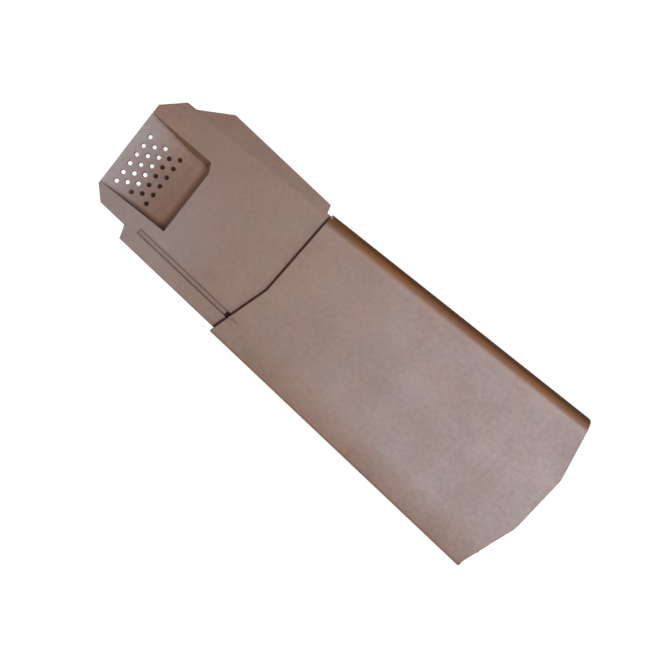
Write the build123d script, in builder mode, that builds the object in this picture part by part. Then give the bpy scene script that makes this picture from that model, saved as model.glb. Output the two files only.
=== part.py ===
from build123d import *
import os
from math import atan2, cos, radians, sin, tan

# Dry verge cap, left-hand unit: one plastic moulding that closes the open side of a tiled roof.
# Lengths are in millimetres and angles in degrees.
# While it is drawn, X runs down the slope along the batten ends, from the head at 0 to the tail,
# Y runs inward from the outer face, and Z stands square off the rafters from the bottom flange.
# The unit above slides its tail over this head, so the head is set in by a wall and a clearance.

# Walls and nesting clearances
wall = 2.5
nest_clearance = 0.5
flange_nest_clearance = 1.9

# Panel, the part that stays in view on the roof
unit_length = 480.0
tail_setback = 15.5
tail_knee_low = 57.5
tail_knee_high = 115.5
tail_knee_radius = 14.0
tail_top_radius = 3.5
tail_toe = 1.6
step_foot_x = 167.5
step_knee_x = 180.0
step_knee_z = 60.0
step_top_x = 176.5
panel_height_at_step = 148.0
tile_tilt = 4.95
top_corner_radius = 12.0
bottom_corner_radius = 2.4
top_flange_reach = 50.0
bottom_flange_reach = 36.0
bottom_lip_height = 3.5
flange_bead_drop = 4.0
edge_radius = 1.0

# Head, the part that the next unit covers
fin_height = 152.5
fin_root_x = 27.0
fin_front_x = 55.0
fin_rear_gap = 7.0
fin_tip_wall = 1.3
fin_crease_drop = 1.8
nose_chamfer_x = 17.2
nose_top_z = 113.0
nose_rake_x = 8.3
nose_corner_z = 27.3
nose_foot_x = 21.4
nose_sole_z = 16.0
nose_step_x = 50.0
head_foot_x = 55.0
head_corner_radius = 2.0

# Vent pocket, a ramp sunk into the nose that runs out into a flat floor
pocket_depth = 10.0
pocket_ramp_run = 46.0
pocket_floor_end = 66.5
pocket_end_run = 5.0
pocket_bend_radius = 60.0
pocket_foot_radius = 6.0
pocket_low_z = 29.3
pocket_low_lean = 6.0
pocket_high_z = 104.3
pocket_high_tilt = 2.8
pocket_high_lean = 21.0
pocket_chamfer_x = 68.0
pocket_chamfer_angle = 58.0

# Vent holes, in staggered columns along the raked end of the nose
vent_diameter = 4.3
vent_draft = 9.0
vent_pitch = 9.65
vent_column_spacing = 8.0
vent_first_column = 10.8
vent_field_centre = 35.2
vent_rows = 6
vent_columns = 5

# Gutter on the head at the foot of the step, which sheds the water that the step catches
gutter_width = 1.9
gutter_depth = 1.2

# Slide groove and locking window on the head, and the lug inside the tail that rides in them
groove_start_x = 63.0
groove_centre_z = 21.0
groove_width = 5.2
groove_depth = 1.1
groove_side_angle = 40.0
window_length = 4.8
latch_depth = 8.0
lug_length = 2.4
lug_side_clearance = 0.5
lug_tip_clearance = 0.3
release_notch_length = 10.0
release_notch_width = 4.4
release_notch_depth = 0.5

# Batten stop, a plate behind the vent pocket that the sawn batten end butts against
stop_standoff = 17.5
stop_front_distance = 29.0
stop_end_x = 92.0
stop_height = 98.0
stop_leg_x = 27.5
stop_leg_height = 44.5

# Spacer ribs inside the panel, which hold the tile edge off the wall so that water drains.
# They stop short of the head of the next unit down the slope.
rib_thickness = 1.8
rib_depth = 8.0
rib_count = 3
rib_end_distance = 20.0

# Water bars under the top flange
water_bar_thickness = 1.6
water_bar_drop = 3.0
water_bar_start = 22.0
water_bar_pitch = 13.0
water_bar_count = 2

# Values that follow from the ones above
tilt = radians(tile_tilt)
head_inset = wall + nest_clearance
head_back = head_inset + wall
head_sole_z = wall + flange_nest_clearance
head_flange_reach = bottom_flange_reach - wall - nest_clearance
nest_pitch = unit_length - step_knee_x
tail_top_x = unit_length - tail_setback
toe_end_x = tail_top_x + tail_toe
fin_rear_x = step_top_x - fin_rear_gap
groove_floor_width = groove_width - 2 * groove_depth * tan(radians(groove_side_angle))
overcut = 1.0


def roof_line(x):
    """Height of the top flange's outer surface, which rises towards the tail like the tiles."""
    return panel_height_at_step + (x - step_top_x) * tan(tilt)


def tile_line(x):
    """Height of the top flange's underside, where the tile's upper face lies."""
    return roof_line(x) - wall / cos(tilt)


def step_x(z):
    """Place of the step between head and panel, at a height up to its knee."""
    return step_foot_x + (step_knee_x - step_foot_x) * z / step_knee_z


def outline(points, depth, rounded=()):
    """Flat outline parallel to the outer face, with some of its corners rounded, each by a radius."""
    with BuildSketch(Plane.XZ.offset(-depth)) as profile:
        with BuildLine():
            Polyline(*points, close=True)
        make_face()
        for corner, radius in rounded:
            fillet(profile.vertices().sort_by_distance(corner)[0], radius)
    return profile.sketch


def slab(points, start, end, rounded=()):
    """Solid with an outline parallel to the outer face, from one depth behind it to another."""
    return extrude(outline(points, start, rounded), amount=start - end, mode=Mode.PRIVATE)


def rectangle(low_x, low_z, high_x, high_z):
    """Corners of an upright rectangle in an outline."""
    return [(low_x, low_z), (high_x, low_z), (high_x, high_z), (low_x, high_z)]


# Section plane of the top flange: right is inward, up is square off the tiles.
roof_plane = Plane(
    origin=(0, 0, roof_line(0)),
    x_dir=(0, 1, 0),
    z_dir=(cos(tilt), 0, sin(tilt)),
)
roof_axis = Axis(roof_plane.origin, roof_plane.z_dir)


def cap_form(inset):
    """Solid that fills all between the rolled top and the rounded bottom, at an inset."""
    with BuildPart() as form:
        with BuildSketch(roof_plane) as top:
            with BuildLine():
                Polyline(
                    (inset, -unit_length),
                    (inset, -inset),
                    (top_flange_reach, -inset),
                    (top_flange_reach, -unit_length),
                    close=True,
                )
            make_face()
            corner = top.vertices().sort_by_distance((inset, -inset))[0]
            fillet(corner, top_corner_radius - inset)
        extrude(amount=unit_length * 2)
        with BuildSketch(Plane.YZ) as bottom:
            with BuildLine():
                Polyline(
                    (inset, unit_length),
                    (inset, inset),
                    (top_flange_reach, inset),
                    (top_flange_reach, unit_length),
                    close=True,
                )
            make_face()
            corner = bottom.vertices().sort_by_distance((inset, inset))[0]
            fillet(corner, bottom_corner_radius - inset)
        extrude(amount=unit_length * 2, mode=Mode.INTERSECT)
    return form.part


tail_top = (tail_top_x, roof_line(tail_top_x))
tail_knees = [(unit_length, tail_knee_high), (unit_length, tail_knee_low)]
panel_points = [
    (step_foot_x, 0),
    (step_knee_x, step_knee_z),
    (step_top_x, roof_line(step_top_x)),
    tail_top,
    *tail_knees,
    (toe_end_x, tail_toe * tail_knee_low / tail_setback),
    (toe_end_x, 0),
]
panel_rounded = [(knee, tail_knee_radius) for knee in tail_knees]

nose_points = [
    (head_foot_x, head_sole_z),
    (nose_step_x, nose_sole_z),
    (nose_foot_x, nose_sole_z),
    (nose_rake_x, nose_corner_z),
    (0, nose_top_z),
    (nose_chamfer_x, tile_line(nose_chamfer_x)),
    (fin_root_x, tile_line(fin_root_x)),
    (fin_front_x, fin_height),
    (fin_rear_x, fin_height),
    (fin_rear_x + wall, tile_line(fin_rear_x + wall)),
]
head_points = nose_points + [
    (step_top_x + wall, tile_line(step_top_x + wall)),
    (step_knee_x + wall, step_knee_z),
    (step_x(head_sole_z) + wall, head_sole_z),
]


def corner_waste(corner, radius):
    """What is cut away beyond the arc that rounds the panel's top corner at the tail."""
    knee_x, knee_z = tail_knees[0]
    tail_angle = atan2(knee_z - corner[1], knee_x - corner[0])
    roof_angle = tilt - radians(180)
    half_angle = (tail_angle - roof_angle) / 2
    middle = roof_angle + half_angle
    centre_distance = radius / sin(half_angle)
    centre_x = corner[0] + centre_distance * cos(middle)
    centre_z = corner[1] + centre_distance * sin(middle)
    reach = 3 * radius
    roof_side = (-sin(tilt), cos(tilt))
    tail_side = (-sin(tail_angle), cos(tail_angle))
    waste_points = [
        (centre_x, centre_z),
        (centre_x + reach * roof_side[0], centre_z + reach * roof_side[1]),
        (corner[0] - reach * cos(middle), corner[1] - reach * sin(middle)),
        (centre_x + reach * tail_side[0], centre_z + reach * tail_side[1]),
    ]
    with BuildSketch(Plane.XZ.offset(overcut)) as waste:
        with BuildLine():
            Polyline(*waste_points, close=True)
        make_face()
        with Locations((centre_x, centre_z)):
            Circle(radius, mode=Mode.SUBTRACT)
    return extrude(waste.sketch, amount=-top_flange_reach - 2 * overcut, mode=Mode.PRIVATE)


# Panel: the rolled top flange, the side wall and the bottom flange, cut to the panel's outline
with BuildPart() as panel:
    with BuildSketch(roof_plane) as top_section:
        with BuildLine():
            Polyline(
                (0, -top_corner_radius - wall),
                (0, 0),
                (top_flange_reach, 0),
                (top_flange_reach, -wall - flange_bead_drop),
                (top_flange_reach - wall, -wall - flange_bead_drop),
                (top_flange_reach - wall, -wall),
                (wall, -wall),
                (wall, -top_corner_radius - wall),
                close=True,
            )
        make_face()
        outer_corner = top_section.vertices().sort_by_distance((0, 0))[0]
        fillet(outer_corner, top_corner_radius)
        inner_corner = top_section.vertices().sort_by_distance((wall, -wall))[0]
        fillet(inner_corner, top_corner_radius - wall)
        for bar in range(water_bar_count):
            with Locations((water_bar_start + bar * water_bar_pitch, -wall)):
                Rectangle(water_bar_thickness, 2 * water_bar_drop)
    extrude(amount=unit_length * 2)
    with BuildSketch(Plane.YZ.offset(step_foot_x)) as bottom_section:
        with BuildLine():
            Polyline(
                (0, 0),
                (bottom_flange_reach, 0),
                (bottom_flange_reach, wall + bottom_lip_height),
                (bottom_flange_reach - wall, wall + bottom_lip_height),
                (bottom_flange_reach - wall, wall),
                (wall, wall),
                (wall, wall * 3),
                (0, wall * 3),
                close=True,
            )
        make_face()
        fillet(bottom_section.vertices().sort_by_distance((0, 0))[0], bottom_corner_radius)
    extrude(amount=unit_length - step_foot_x)
    wall_points = [
        (step_foot_x, bottom_corner_radius),
        (unit_length, bottom_corner_radius),
        (unit_length, roof_line(unit_length) - top_corner_radius / cos(tilt)),
        (step_foot_x, roof_line(step_foot_x) - top_corner_radius / cos(tilt)),
    ]
    add(slab(wall_points, 0, wall))
    add(slab(panel_points, 0, top_flange_reach, panel_rounded), mode=Mode.INTERSECT)

# Step web, which joins the panel to the head that is set in behind it
step_web_points = [
    (step_foot_x, 0),
    (step_knee_x, step_knee_z),
    (step_top_x, roof_line(step_top_x)),
    (step_top_x + wall, roof_line(step_top_x)),
    (step_knee_x + wall, step_knee_z),
    (step_foot_x + wall, 0),
]
web_top_z = head_sole_z + wall
flange_web_points = [
    (step_foot_x, 0),
    (step_x(web_top_z), web_top_z),
    (step_x(web_top_z) + wall, web_top_z),
    (step_x(web_top_z) + wall, 0),
]
with BuildPart() as step_web:
    add(slab(step_web_points, 0, head_back))
    add(slab(flange_web_points, 0, head_flange_reach))
    add(cap_form(0), mode=Mode.INTERSECT)

# Spacer ribs and the tail lug, on the inside of the panel
rib_span = nest_pitch - step_top_x - 2 * rib_end_distance
lug_x = step_x(groove_centre_z) - window_length / 2 + nest_pitch
lug_half_height = groove_floor_width / 2 - lug_side_clearance
lug_height = nest_clearance + groove_depth - lug_tip_clearance
with BuildPart() as panel_inside:
    for rib in range(rib_count):
        rib_x = step_top_x + rib_end_distance + rib * rib_span / (rib_count - 1)
        rib_points = rectangle(
            rib_x - rib_thickness / 2,
            wall / 2,
            rib_x + rib_thickness / 2,
            roof_line(rib_x),
        )
        add(slab(rib_points, wall / 2, wall + rib_depth))
    lug_points = rectangle(
        lug_x - lug_length / 2,
        groove_centre_z - lug_half_height,
        lug_x + lug_length / 2,
        groove_centre_z + lug_half_height,
    )
    add(slab(lug_points, wall / 2, wall + lug_height))
    add(cap_form(wall / 2), mode=Mode.INTERSECT)

# Section plane of the vent pocket: right runs along its ramp, up runs inward
nose_rake = atan2(nose_rake_x, nose_top_z - nose_corner_z)
along_ramp = (cos(nose_rake), 0, sin(nose_rake))
up_nose = (-sin(nose_rake), 0, cos(nose_rake))
nose_origin = (nose_rake_x, head_inset, nose_corner_z)
ramp_plane = Plane(origin=nose_origin, x_dir=along_ramp, z_dir=up_nose)

# Each vent narrows inward. Its cutter starts clear of the ramp and ends behind the skin.
vent_plane = Plane(origin=nose_origin, x_dir=along_ramp, z_dir=(0, 1, 0))
vent_cut = overcut + wall * 1.5
vent_mouth_radius = vent_diameter / 2 + overcut * tan(radians(vent_draft))
vent_back_radius = vent_mouth_radius - vent_cut * tan(radians(vent_draft))


def pocket_side(x, z, heading, lean):
    """Plane of a pocket wall: it meets the face along a heading and leans in with depth."""
    turn = radians(heading)
    tip = radians(lean)
    outward = (-sin(turn) * cos(tip), sin(tip), cos(turn) * cos(tip))
    return Plane(origin=(x, head_inset, z), x_dir=(cos(turn), 0, sin(turn)), z_dir=outward)


pocket_chamfer_z = pocket_high_z + pocket_chamfer_x * tan(radians(pocket_high_tilt))
pocket_sides = [
    pocket_side(nose_rake_x, pocket_low_z, 180 + tile_tilt, pocket_low_lean),
    pocket_side(0, pocket_high_z, pocket_high_tilt, pocket_high_lean),
    pocket_side(pocket_chamfer_x, pocket_chamfer_z, -pocket_chamfer_angle, pocket_high_lean),
]


def vent_pocket(growth):
    """Space of the vent pocket, made larger all round by a growth."""
    with BuildPart() as pocket:
        with BuildSketch(ramp_plane) as ramp:
            with BuildLine():
                Polyline(
                    (0, -overcut),
                    (0, 0),
                    (pocket_ramp_run, pocket_depth),
                    (pocket_floor_end, pocket_depth),
                    (pocket_floor_end + pocket_end_run, 0),
                    (pocket_floor_end + pocket_end_run, -overcut),
                    close=True,
                )
            make_face()
            bend = ramp.vertices().sort_by_distance((pocket_ramp_run, pocket_depth))[0]
            fillet(bend, pocket_bend_radius)
            foot = ramp.vertices().sort_by_distance((pocket_floor_end, pocket_depth))[0]
            fillet(foot, pocket_foot_radius)
            if growth > 0:
                offset(amount=growth, kind=Kind.INTERSECTION)
        extrude(amount=unit_length, both=True)
        for side in pocket_sides:
            split(bisect_by=side.offset(growth), keep=Keep.BOTTOM)
    return pocket.part


# Skin of the pocket on the back of the head, kept within the head's outline
with BuildPart() as pocket_skin:
    add(vent_pocket(wall))
    skin_end = head_inset + pocket_depth + wall * 2
    add(slab(head_points, head_inset + wall / 2, skin_end), mode=Mode.INTERSECT)

# Batten stop: a plate with a leg at the nose, carried by webs along its top, rear and foot.
# Its front edge is raked like the nose, so that it covers the rear columns of vents.
stop_face = stop_standoff + wall


def stop_front_x(z):
    """Place of the stop's raked front edge, at a height."""
    return nose_rake_x - (z - nose_corner_z) * tan(nose_rake) + stop_front_distance


stop_points = [
    (head_foot_x, head_sole_z),
    (nose_step_x, nose_sole_z),
    (stop_leg_x, nose_sole_z),
    (stop_leg_x, stop_leg_height),
    (stop_front_x(stop_leg_height), stop_leg_height),
    (stop_front_x(stop_height), stop_height),
    (stop_end_x, stop_height),
    (stop_end_x, head_sole_z),
]
stop_top_points = rectangle(stop_front_x(stop_height), stop_height - wall, stop_end_x, stop_height)
stop_rear_points = rectangle(stop_end_x - wall, head_sole_z, stop_end_x, stop_height)
stop_foot_points = [
    (nose_foot_x, nose_sole_z),
    (nose_step_x, nose_sole_z),
    (head_foot_x, head_sole_z),
    (head_foot_x + wall, head_sole_z),
    (head_foot_x + wall, head_sole_z + wall),
    (nose_step_x + wall, nose_sole_z + wall),
    (nose_foot_x, nose_sole_z + wall),
]
with BuildPart() as batten_stop:
    add(slab(stop_points, stop_standoff, stop_face))
    for web_points in (stop_top_points, stop_rear_points, stop_foot_points):
        add(slab(web_points, head_inset + wall / 2, stop_face))

# Groove with sloped sides, which ends in the locking window. A blind latch box stands behind the
# window and shields it from the weather.
groove_end_x = step_x(groove_centre_z)
window_start_x = groove_end_x - window_length


def along_groove(rows):
    """Bar from the groove's start to the step, with a section given as depths and half heights."""
    with BuildPart() as bar:
        with BuildSketch(Plane.YZ.offset(groove_start_x)):
            with BuildLine():
                upper = [(depth, groove_centre_z + half) for depth, half in rows]
                lower = [(depth, groove_centre_z - half) for depth, half in reversed(rows)]
                Polyline(*upper, *lower, close=True)
            make_face()
        extrude(amount=groove_end_x - groove_start_x)
    return bar.part


groove_rows = [
    (head_inset - overcut, groove_width / 2),
    (head_inset, groove_width / 2),
    (head_inset + groove_depth, groove_floor_width / 2),
]
groove_skin_rows = [
    (head_back - wall / 2, groove_width / 2 + wall),
    (head_back, groove_width / 2 + wall),
    (head_back + groove_depth, groove_floor_width / 2 + wall),
]
latch_points = rectangle(
    window_start_x - wall,
    groove_centre_z - groove_width / 2 - wall,
    groove_end_x + wall,
    groove_centre_z + groove_width / 2 + wall,
)
window_points = rectangle(
    window_start_x,
    groove_centre_z - groove_width / 2,
    groove_end_x,
    groove_centre_z + groove_width / 2,
)

step_line = [
    (step_x(-overcut), -overcut),
    (step_knee_x, step_knee_z),
    (step_top_x, roof_line(step_top_x)),
]
gutter_points = step_line + [(x - gutter_width, z) for x, z in reversed(step_line)]

# Head: the recessed wall with its nose and fin, its bottom flange, the batten stop behind it,
# the vent pocket with its holes, and the groove and window for the next unit's lug
fin_taper_height = 1.5 * (fin_height - tile_line(fin_front_x) + fin_crease_drop)
fin_taper_depth = 1.5 * (wall - fin_tip_wall)
fin_crease = -wall - fin_crease_drop
head_rounded = [(point, head_corner_radius) for point in nose_points[1:4] + nose_points[5:9]]


def is_front_rim(edge):
    """True for an edge of the bare head wall that bounds its outer face, short of the step."""
    middle = edge.center()
    return middle.Y < head_back - edge_radius and middle.X < step_foot_x - wall


with BuildPart() as head:
    add(slab(head_points, head_inset, head_back, head_rounded))
    rim = head.edges().filter_by(Axis.Y, reverse=True).filter_by(is_front_rim)
    fillet(rim, edge_radius)
    with BuildSketch(roof_plane):
        with BuildLine():
            Polyline(
                (head_inset, fin_crease),
                (head_inset + fin_taper_depth, fin_crease + fin_taper_height),
                (head_inset - overcut, fin_crease + fin_taper_height),
                (head_inset - overcut, fin_crease),
                close=True,
            )
        make_face()
    extrude(amount=unit_length, mode=Mode.SUBTRACT)
    with BuildSketch(Plane.YZ.offset(head_foot_x)):
        with BuildLine():
            Polyline(
                (head_inset + wall / 2, head_sole_z),
                (head_flange_reach, head_sole_z),
                (head_flange_reach, head_sole_z + wall + bottom_lip_height),
                (head_flange_reach - wall, head_sole_z + wall + bottom_lip_height),
                (head_flange_reach - wall, head_sole_z + wall),
                (head_inset + wall / 2, head_sole_z + wall),
                close=True,
            )
        make_face()
    extrude(amount=step_foot_x + wall - head_foot_x)
    add(batten_stop.part)
    add(pocket_skin.part)
    add(vent_pocket(0), mode=Mode.SUBTRACT)
    for column in range(vent_columns):
        rows = vent_rows - column % 2
        column_x = vent_first_column + column * vent_column_spacing
        ramp_depth = column_x * pocket_depth / pocket_ramp_run
        with Locations(vent_plane.offset(ramp_depth - overcut)):
            with Locations((column_x, -vent_field_centre)):
                with GridLocations(vent_column_spacing, vent_pitch, 1, rows):
                    Cone(
                        vent_mouth_radius,
                        vent_back_radius,
                        vent_cut,
                        align=(Align.CENTER, Align.CENTER, Align.MIN),
                        mode=Mode.SUBTRACT,
                    )
    add(along_groove(groove_skin_rows))
    add(slab(latch_points, head_inset + wall / 2, head_inset + latch_depth + wall))
    add(along_groove(groove_rows), mode=Mode.SUBTRACT)
    add(slab(gutter_points, head_inset - overcut, head_inset + gutter_depth), mode=Mode.SUBTRACT)
    add(slab(window_points, 0, head_inset + latch_depth), mode=Mode.SUBTRACT)

# The whole moulding, with the outer edges of the panel rounded
with BuildPart() as moulding:
    add(panel.part)
    add(step_web.part)
    add(panel_inside.part)
    add(head.part)
    face_edges = moulding.edges().group_by(Axis.Y)[0]
    cross_edges = face_edges.filter_by(Axis.X, reverse=True)
    cross_edges = cross_edges.filter_by(roof_axis, reverse=True)
    fillet(cross_edges, edge_radius)
    add(corner_waste(tail_top, tail_top_radius), mode=Mode.SUBTRACT)
    notch_x = step_x(groove_centre_z)
    notch_points = [
        (notch_x - overcut, groove_centre_z - release_notch_width / 2),
        (notch_x + release_notch_length, groove_centre_z),
        (notch_x - overcut, groove_centre_z + release_notch_width / 2),
    ]
    add(slab(notch_points, -overcut, release_notch_depth), mode=Mode.SUBTRACT)

# The finished piece, with its origin under the centre of its footprint
with BuildPart() as dry_verge_cap:
    with Locations((-unit_length / 2, -top_flange_reach / 2, 0)):
        add(moulding.part)

dry_verge_cap.part.label = "dry_verge_cap"
os.makedirs("parts", exist_ok=True)
export_step(dry_verge_cap.part, "parts/dry_verge_cap.step")
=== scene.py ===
"""Dry verge cap: the finish of its moulded brown plastic, and a plain pale studio round it.

Lengths are in metres, in the part's own frame: +X runs down the slope from the head to the tail,
+Y runs inward from the outer face, and Z is up. A pair of lengths is the start and the end of a
fade, and four lengths are the two ends of a rise and of the fall after it.
"""

from math import cos, radians, sin, tan

import bpy
import numpy as np
from mathutils import Matrix, Vector


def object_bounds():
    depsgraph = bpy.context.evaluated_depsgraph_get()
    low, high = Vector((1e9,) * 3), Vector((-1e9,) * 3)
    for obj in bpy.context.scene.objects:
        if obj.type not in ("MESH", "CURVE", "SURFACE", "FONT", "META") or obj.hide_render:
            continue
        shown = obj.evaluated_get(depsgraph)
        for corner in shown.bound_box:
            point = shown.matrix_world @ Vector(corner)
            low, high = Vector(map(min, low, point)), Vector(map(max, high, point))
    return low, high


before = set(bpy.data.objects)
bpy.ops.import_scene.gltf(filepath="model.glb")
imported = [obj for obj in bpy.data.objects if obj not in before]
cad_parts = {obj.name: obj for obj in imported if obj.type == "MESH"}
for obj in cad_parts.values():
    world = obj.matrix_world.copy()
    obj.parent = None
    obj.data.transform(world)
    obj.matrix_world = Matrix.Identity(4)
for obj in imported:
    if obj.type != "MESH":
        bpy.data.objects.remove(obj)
cad_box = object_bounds()

# Pigment, as screen colours from 0 to 1
PIGMENT_DARK = (0.462, 0.290, 0.150)
PIGMENT_LIGHT = (0.510, 0.338, 0.194)

# Drift between a warmer and a cooler brown, as tints that multiply red, green and blue
WARM_DRIFT_TINT = (1.06, 1.0, 0.84, 1.0)
COOL_DRIFT_TINT = (0.94, 1.0, 1.16, 1.0)

# Noise in the plastic: the width of a blotch, its levels of finer detail, and their strength
DRIFT = {"width": 0.050, "detail": 4.0, "roughness": 0.6}
WARMTH = {"width": 0.030, "detail": 3.0, "roughness": 0.6}
SPECKLE = {"width": 0.0042, "detail": 3.0, "roughness": 0.7}
GRAIN = {"width": 0.0009, "detail": 2.0, "roughness": 0.5}
RIPPLE = {"width": 0.045, "detail": 1.0, "roughness": 0.5}

# Weights of the noises in the mottle, and the spans of noise that use the whole range of colour
DRIFT_WEIGHT = 0.5
SPECKLE_WEIGHT = 0.6
MOTTLE_SPAN = (0.41, 0.69)
WARMTH_SPAN = (0.35, 0.65)

# Heights of the bumps that the mould leaves
GRAIN_HEIGHT = 0.00003
RIPPLE_HEIGHT = 0.00022

# Gloss of the surface, where the lighter pigment is the smoother one
PLASTIC_IOR = 1.65
PLASTIC_SPECULAR = 1.0
PLASTIC_SPECULAR_TINT = (0.73, 0.86, 1.0, 1.0)
ROUGHNESS_LIGHT = 0.47
ROUGHNESS_DARK = 0.55

# Duller places: the foot of the panel, which starts past the step, and the inside
PAST_STEP_X = (-0.060, -0.020)
FOOT_Z = (0.0, 0.030)
FOOT_ROUGHNESS = 0.14
INSIDE_Y = (-0.0215, -0.0125)
INSIDE_ROUGHNESS = 0.18

# Rolled top edge: its top line, and the painted shade on its crest and the painted light on the strip
# at a drop below that
ROLL_HEIGHT = 0.1535
ROLL_SLOPE = tan(radians(4.95))
CREST_DROP = (0.0034, 0.0056)
CREST_Y = (-0.018, -0.010)
CREST_SHADE_TINT = (0.74, 0.66, 0.58, 1.0)
STRIP_DROP = (0.003, 0.006, 0.009, 0.017)
STRIP_LIGHT_TINT = (1.32, 1.26, 0.95, 1.0)

# Painted cool sheen low on the nose, as a screen colour and the share of it
PAINTED_SHEEN_X = (-0.152, -0.110)
PAINTED_SHEEN_Y = (-0.019, -0.013)
PAINTED_SHEEN_Z = (0.030, 0.115)
PAINTED_SHEEN_COLOUR = (0.76, 0.79, 0.83)
PAINTED_SHEEN_SHARE = 0.145

# Warmer brown on both sides of the step
STEP_X = (-0.130, -0.100, -0.010, 0.090)
STEP_TINT = (1.0, 0.96, 0.55, 1.0)

# Painted shade in the slide groove, and the share of the painted crease shade that it hides
GROOVE_X = (-0.180, -0.174, -0.074, -0.070)
GROOVE_Y = (-0.0205, -0.0195)
GROOVE_Z = (0.0155, 0.0188, 0.0232, 0.0262)
GROOVE_SHADE_TINT = (0.79, 0.74, 0.66, 1.0)
GROOVE_HIDES = 0.75

# Painted shade in creases and vents, full or gone at a share of open air within their reach
CREASE_REACH = 0.008
CREASE_SAMPLES = 12
CREASE_SHADED_AIR = 0.54
CREASE_CLEAR_AIR = 0.96
POCKET_CLEAR_AIR = 0.83
POCKET_Y = (-0.0210, -0.0185)
CREASE_SHADE_TINT = (0.36, 0.17, 0.11, 1.0)
CREASE_ROUGHNESS = 0.42

# Camera, which looks square on to the outer face and is turned about its own axis
CAMERA_TURN = radians(43.4)
CAMERA_DISTANCE = 1.05
VIEW_WIDTH = 0.5786
VIEW_CENTRE = Vector((0.0068, cad_box[0].y, 0.0726))
SENSOR_WIDTH = 36.0
CLIP_START = 0.1
CLIP_END = 24.0

# Floor: its grey, and the share of plain white seen in it, which grows with the distance
FLOOR_HALF_WIDTH = 6.0
FLOOR_GREY = 0.85
FLOOR_WHITE = 1.34
WHITE_SHARE_NEAR = 0.7
WHITE_SHARE_FAR = 1.0
WHITE_DISTANCE = (0.7, 2.0)

# Air of the studio: its light, the ceiling seen in a gloss, and the height of the white below it
AMBIENT_STRENGTH = 0.14
CEILING_GLOSS = 0.05
WHITE_SWEEP_TOP = sin(radians(6))


def to_linear(screen_colour):
    """Linear RGBA of a screen colour: each channel c becomes ((c + 0.055) / 1.055) ** 2.4."""
    channels = (np.array(screen_colour) + 0.055) / 1.055
    return (*(channels**2.4).tolist(), 1.0)


class NodeSheet:
    """A node tree with short calls that add nodes, set their inputs and join them."""

    def __init__(self, tree):
        self.tree = tree
        tree.nodes.clear()

    def feed(self, socket, value):
        """Links another node's output to an input, or sets the input to any other value."""
        if isinstance(value, bpy.types.NodeSocket):
            self.tree.links.new(value, socket)
        else:
            socket.default_value = value

    def add(self, kind, settings=None, **inputs):
        """Node of a kind, with its settings and its inputs by name."""
        node = self.tree.nodes.new(kind)
        for name, value in (settings or {}).items():
            setattr(node, name, value)
        for name, value in inputs.items():
            self.feed(node.inputs[name.replace("_", " ")], value)
        return node

    def maths(self, operation, first, *others):
        """Result of an operation on the first value and, one after another, on the others."""
        for other in others:
            node = self.add("ShaderNodeMath", {"operation": operation})
            self.feed(node.inputs[0], first)
            self.feed(node.inputs[1], other)
            first = node.outputs[0]
        return first

    def product(self, *values):
        """All the values multiplied."""
        return self.maths("MULTIPLY", *values)

    def total(self, *values):
        """All the values added up."""
        return self.maths("ADD", *values)

    def number_between(self, share, low, high, share_low=0.0, share_high=1.0):
        """Number that runs from low to high as the share runs between its own two ends."""
        node = self.add(
            "ShaderNodeMapRange",
            Value=share,
            From_Min=share_low,
            From_Max=share_high,
            To_Min=low,
            To_Max=high,
        )
        return node.outputs["Result"]

    def rise(self, measure, start, end):
        """0 up to the start, and 1 from the end on."""
        return self.number_between(measure, 0.0, 1.0, start, end)

    def fall(self, measure, start, end):
        """1 up to the start, and 0 from the end on."""
        return self.number_between(measure, 1.0, 0.0, start, end)

    def band(self, measure, rise_start, rise_end, fall_start, fall_end):
        """1 between the rise and the fall, and 0 outside them."""
        return self.product(
            self.rise(measure, rise_start, rise_end),
            self.fall(measure, fall_start, fall_end),
        )

    def mix(self, way, share, first, second):
        """Colour that runs from the first to its mix with the second as the share grows to 1."""
        node = self.add("ShaderNodeMix", {"data_type": "RGBA", "blend_type": way})
        for socket, value in zip((node.inputs[0], *node.inputs[6:8]), (share, first, second)):
            self.feed(socket, value)
        return node.outputs[2]

    def shade_between(self, share, low, high):
        """Colour that runs from low to high as the share runs from 0 to 1."""
        return self.mix("MIX", share, low, high)

    def tinted(self, colour, tint, share=1.0):
        """Colour multiplied by a tint, channel by channel, where the share is 1."""
        return self.mix("MULTIPLY", share, colour, tint)


def cloud(sheet, place, width, detail, roughness):
    """Soft noise from 0 to 1 whose blotches are about as wide as given."""
    node = sheet.add(
        "ShaderNodeTexNoise",
        Vector=place,
        Scale=1.0 / width,
        Detail=detail,
        Roughness=roughness,
    )
    return node.outputs["Fac"]


def mottle_share(sheet, place):
    """Share of the lighter pigment: wide blotches plus a fine speckle."""
    drift = sheet.product(cloud(sheet, place, **DRIFT), DRIFT_WEIGHT)
    speckle = sheet.product(cloud(sheet, place, **SPECKLE), SPECKLE_WEIGHT)
    return sheet.rise(sheet.total(drift, speckle), *MOTTLE_SPAN)


def mottled_pigment(sheet, place, mottle):
    """The two shades of the pigment, which drift between a warmer and a cooler brown."""
    pigment = sheet.shade_between(mottle, to_linear(PIGMENT_DARK), to_linear(PIGMENT_LIGHT))
    warmth = sheet.rise(cloud(sheet, place, **WARMTH), *WARMTH_SPAN)
    return sheet.tinted(pigment, sheet.shade_between(warmth, COOL_DRIFT_TINT, WARM_DRIFT_TINT))


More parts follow.
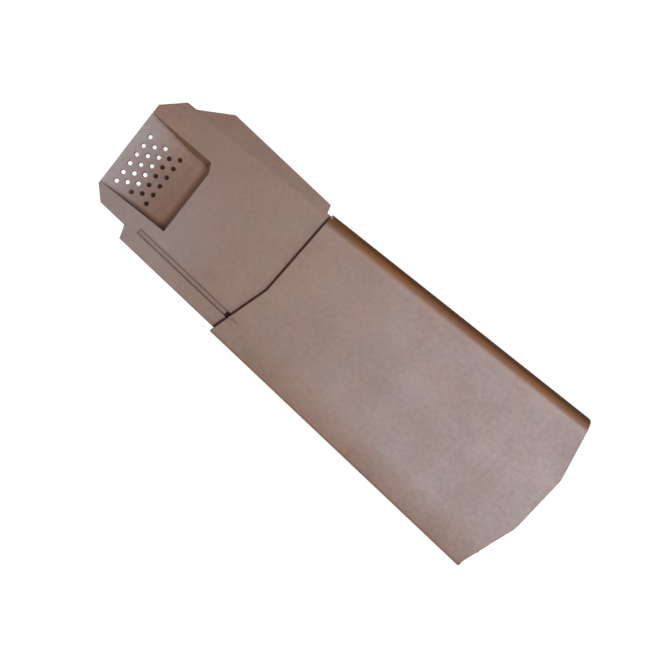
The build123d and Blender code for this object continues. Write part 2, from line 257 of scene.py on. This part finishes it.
def roll_painted_shade_and_light(sheet, pigment, x, y, z, past_step):
    """Pigment with painted shade on the roll's crest and painted light on its strip, which lie at a
    drop below its top line.

    The top line's height is ROLL_HEIGHT plus ROLL_SLOPE times X.
    """
    top_line = sheet.total(sheet.product(x, ROLL_SLOPE), ROLL_HEIGHT)
    drop = sheet.maths("SUBTRACT", top_line, z)
    strip = sheet.product(sheet.band(drop, *STRIP_DROP), past_step)
    crest = sheet.product(sheet.fall(drop, *CREST_DROP), sheet.fall(y, *CREST_Y), past_step)
    # Painted light on the strip below the crest, then painted shade on the crest
    pigment = sheet.tinted(pigment, STRIP_LIGHT_TINT, strip)
    return sheet.tinted(pigment, CREST_SHADE_TINT, crest)


def with_painted_sheen(sheet, pigment, x, y, z):
    """Pigment with a painted cool sheen low on the nose."""
    painted_sheen = sheet.product(
        sheet.fall(x, *PAINTED_SHEEN_X),
        sheet.fall(y, *PAINTED_SHEEN_Y),
        sheet.fall(z, *PAINTED_SHEEN_Z),
        PAINTED_SHEEN_SHARE,
    )
    return sheet.shade_between(painted_sheen, pigment, to_linear(PAINTED_SHEEN_COLOUR))


def groove_share(sheet, x, y, z):
    """1 in the slide groove, and 0 away from it."""
    return sheet.product(
        sheet.band(x, *GROOVE_X),
        sheet.fall(y, *GROOVE_Y),
        sheet.band(z, *GROOVE_Z),
    )


def painted_crease_shade(sheet, y, groove):
    """Painted shade: 1 in a deep crease or a vent, and 0 in the open, by how much air is open round a
    spot.

    In the vent pocket the painted shade keeps closer to the creases, and the groove's painted shade
    hides some.
    """
    settings = {"samples": CREASE_SAMPLES, "only_local": True}
    air = sheet.add("ShaderNodeAmbientOcclusion", settings, Distance=CREASE_REACH).outputs["AO"]
    clear_air = sheet.number_between(y, CREASE_CLEAR_AIR, POCKET_CLEAR_AIR, *POCKET_Y)
    crease = sheet.fall(air, CREASE_SHADED_AIR, clear_air)
    return sheet.product(crease, sheet.number_between(groove, 1.0, 1.0 - GROOVE_HIDES))


def moulded_bumps(sheet, place):
    """Normal of the surface under the mould's fine grain and slow ripple."""
    grain = sheet.product(cloud(sheet, place, **GRAIN), GRAIN_HEIGHT)
    ripple = sheet.product(cloud(sheet, place, **RIPPLE), RIPPLE_HEIGHT)
    height = sheet.total(grain, ripple)
    return sheet.add("ShaderNodeBump", Strength=1.0, Distance=1.0, Height=height).outputs["Normal"]


def verge_plastic():
    """Satin mottled brown plastic, warmer by the step; painted light and shade on the roll, nose,
    groove and creases.
    """
    material = bpy.data.materials.new("verge_plastic")
    material.use_nodes = True
    sheet = NodeSheet(material.node_tree)
    place = sheet.add("ShaderNodeTexCoord").outputs["Object"]
    x, y, z = sheet.add("ShaderNodeSeparateXYZ", Vector=place).outputs
    past_step = sheet.rise(x, *PAST_STEP_X)
    mottle = mottle_share(sheet, place)
    groove = groove_share(sheet, x, y, z)
    crease = painted_crease_shade(sheet, y, groove)

    pigment = mottled_pigment(sheet, place, mottle)
    # Painted shade on the roll's crest and painted light on the strip below it
    pigment = roll_painted_shade_and_light(sheet, pigment, x, y, z, past_step)
    # Painted cool sheen low on the nose
    pigment = with_painted_sheen(sheet, pigment, x, y, z)
    pigment = sheet.tinted(pigment, STEP_TINT, sheet.band(x, *STEP_X))
    # Painted shade in the slide groove
    pigment = sheet.tinted(pigment, GROOVE_SHADE_TINT, groove)
    # Painted shade in creases and vents
    pigment = sheet.tinted(pigment, CREASE_SHADE_TINT, crease)

    roughness = sheet.total(
        sheet.number_between(mottle, ROUGHNESS_DARK, ROUGHNESS_LIGHT),
        sheet.product(sheet.fall(z, *FOOT_Z), past_step, FOOT_ROUGHNESS),
        sheet.product(sheet.rise(y, *INSIDE_Y), INSIDE_ROUGHNESS),
        sheet.product(crease, CREASE_ROUGHNESS),
    )
    plastic = sheet.add(
        "ShaderNodeBsdfPrincipled",
        Base_Color=pigment,
        Roughness=roughness,
        IOR=PLASTIC_IOR,
        Specular_IOR_Level=PLASTIC_SPECULAR,
        Specular_Tint=PLASTIC_SPECULAR_TINT,
        Normal=moulded_bumps(sheet, place),
    )
    sheet.add("ShaderNodeOutputMaterial", Surface=plastic.outputs["BSDF"])
    return material


def studio_rays(sheet):
    """Two shares: 1 for rays from the camera, and 1 for rays that a gloss or glass sends on."""
    path = sheet.add("ShaderNodeLightPath").outputs
    mirrored = sheet.maths("MAXIMUM", path["Is Glossy Ray"], path["Is Transmission Ray"])
    return path["Is Camera Ray"], mirrored


def floor_paint():
    """Pale floor: white where it is seen, with part of its own shading left in near the part."""
    material = bpy.data.materials.new("studio_floor_paint")
    material.use_nodes = True
    sheet = NodeSheet(material.node_tree)
    seen = sheet.maths("MAXIMUM", *studio_rays(sheet))
    place = sheet.add("ShaderNodeTexCoord").outputs["Object"]
    distance = sheet.add("ShaderNodeVectorMath", {"operation": "LENGTH"}, Vector=place).outputs["Value"]
    white_share = sheet.number_between(distance, WHITE_SHARE_NEAR, WHITE_SHARE_FAR, *WHITE_DISTANCE)
    paint = sheet.add("ShaderNodeBsdfDiffuse", Color=(FLOOR_GREY, FLOOR_GREY, FLOOR_GREY, 1.0))
    white = sheet.add("ShaderNodeEmission", Strength=FLOOR_WHITE)
    both = sheet.add("ShaderNodeMixShader", Fac=sheet.product(seen, white_share))
    sheet.feed(both.inputs[1], paint.outputs[0])
    sheet.feed(both.inputs[2], white.outputs[0])
    sheet.add("ShaderNodeOutputMaterial", Surface=both.outputs[0])
    return material


def studio_floor():
    """Flat square floor at height 0, under the part."""
    corners = FLOOR_HALF_WIDTH * np.array([(-1, -1, 0), (1, -1, 0), (1, 1, 0), (-1, 1, 0)], float)
    mesh = bpy.data.meshes.new("studio_floor")
    mesh.from_pydata(corners.tolist(), [], [(0, 1, 2, 3)])
    mesh.materials.append(floor_paint())
    floor = bpy.data.objects.new("studio_floor", mesh)
    bpy.context.scene.collection.objects.link(floor)


def studio_air():
    """World: white to the camera, a white sweep below a dim ceiling in a gloss, and dim light."""
    world = bpy.data.worlds.new("studio_air")
    bpy.context.scene.world = world
    world.use_nodes = True
    sheet = NodeSheet(world.node_tree)
    camera, mirrored = studio_rays(sheet)
    direction = sheet.add("ShaderNodeTexCoord").outputs["Generated"]
    height = sheet.add("ShaderNodeSeparateXYZ", Vector=direction).outputs["Z"]
    sweep = sheet.product(mirrored, sheet.maths("LESS_THAN", height, WHITE_SWEEP_TOP))
    white_share = sheet.maths("MAXIMUM", camera, sweep)
    dim = sheet.number_between(mirrored, AMBIENT_STRENGTH, CEILING_GLOSS)
    strength = sheet.number_between(white_share, dim, 1.0)
    light = sheet.add("ShaderNodeBackground", Color=(1.0, 1.0, 1.0, 1.0), Strength=strength)
    sheet.add("ShaderNodeOutputWorld", Surface=light.outputs[0])


def softbox(name, heading, elevation, distance, width, height, level, sheen=True):
    """Rectangular lamp aimed at the middle of the part.

    Heading 0 stands in front of the outer face and 90 beyond the tail. Level is the share of a
    white card's full brightness that the lamp gives at the part, so its power is level times the
    square of pi times the distance. Without sheen, the lamp lights but isn't mirrored.
    """
    centre = (cad_box[0] + cad_box[1]) / 2
    turn, tip = radians(heading), radians(elevation)
    away = Vector((sin(turn) * cos(tip), -cos(turn) * cos(tip), sin(tip)))
    lamp = bpy.data.lights.new(name, "AREA")
    lamp.shape = "RECTANGLE"
    lamp.size = width
    lamp.size_y = height
    lamp.energy = level * (np.pi * distance) ** 2
    stand = bpy.data.objects.new(name, lamp)
    stand.location = centre + away * distance
    stand.rotation_mode = "QUATERNION"
    stand.rotation_quaternion = away.to_track_quat("Z", "Y")
    stand.visible_glossy = sheen
    bpy.context.scene.collection.objects.link(stand)


def studio_lamps():
    """A wide low key lamp, which lays the sheen on the face, and softer ones on the other sides."""
    softbox("key_softbox", heading=21, elevation=2, distance=2.2, width=1.7, height=0.5, level=0.815)
    softbox("back_softbox", heading=180, elevation=10, distance=1.6, width=1.0, height=1.0, level=0.30)
    softbox(
        "top_softbox",
        heading=180,
        elevation=36,
        distance=1.6,
        width=1.0,
        height=0.5,
        level=0.70,
        sheen=False,
    )
    softbox("head_softbox", heading=-100, elevation=12, distance=1.6, width=0.8, height=0.8, level=0.13)
    softbox("tail_softbox", heading=105, elevation=12, distance=1.6, width=0.8, height=0.8, level=0.30)


def photo_camera():
    """Camera that looks along +Y, turned about its own axis so that the tail points down right."""
    right = Vector((cos(CAMERA_TURN), 0, sin(CAMERA_TURN)))
    up = Vector((-sin(CAMERA_TURN), 0, cos(CAMERA_TURN)))
    back = Vector((0, -1, 0))
    camera = bpy.data.cameras.new("photo_camera")
    camera.sensor_width = SENSOR_WIDTH
    camera.lens = SENSOR_WIDTH * CAMERA_DISTANCE / VIEW_WIDTH
    camera.clip_start = CLIP_START
    camera.clip_end = CLIP_END
    turned = Matrix((right, up, back)).transposed().to_4x4()
    stand = bpy.data.objects.new("photo_camera", camera)
    stand.matrix_world = Matrix.Translation(VIEW_CENTRE + back * CAMERA_DISTANCE) @ turned
    bpy.context.scene.collection.objects.link(stand)
    bpy.context.scene.camera = stand


plastic = verge_plastic()
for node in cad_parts.values():
    node.data.materials.clear()
    node.data.materials.append(plastic)

studio_floor()
studio_air()
studio_lamps()
photo_camera()

bpy.context.scene.view_settings.view_transform = "Standard"
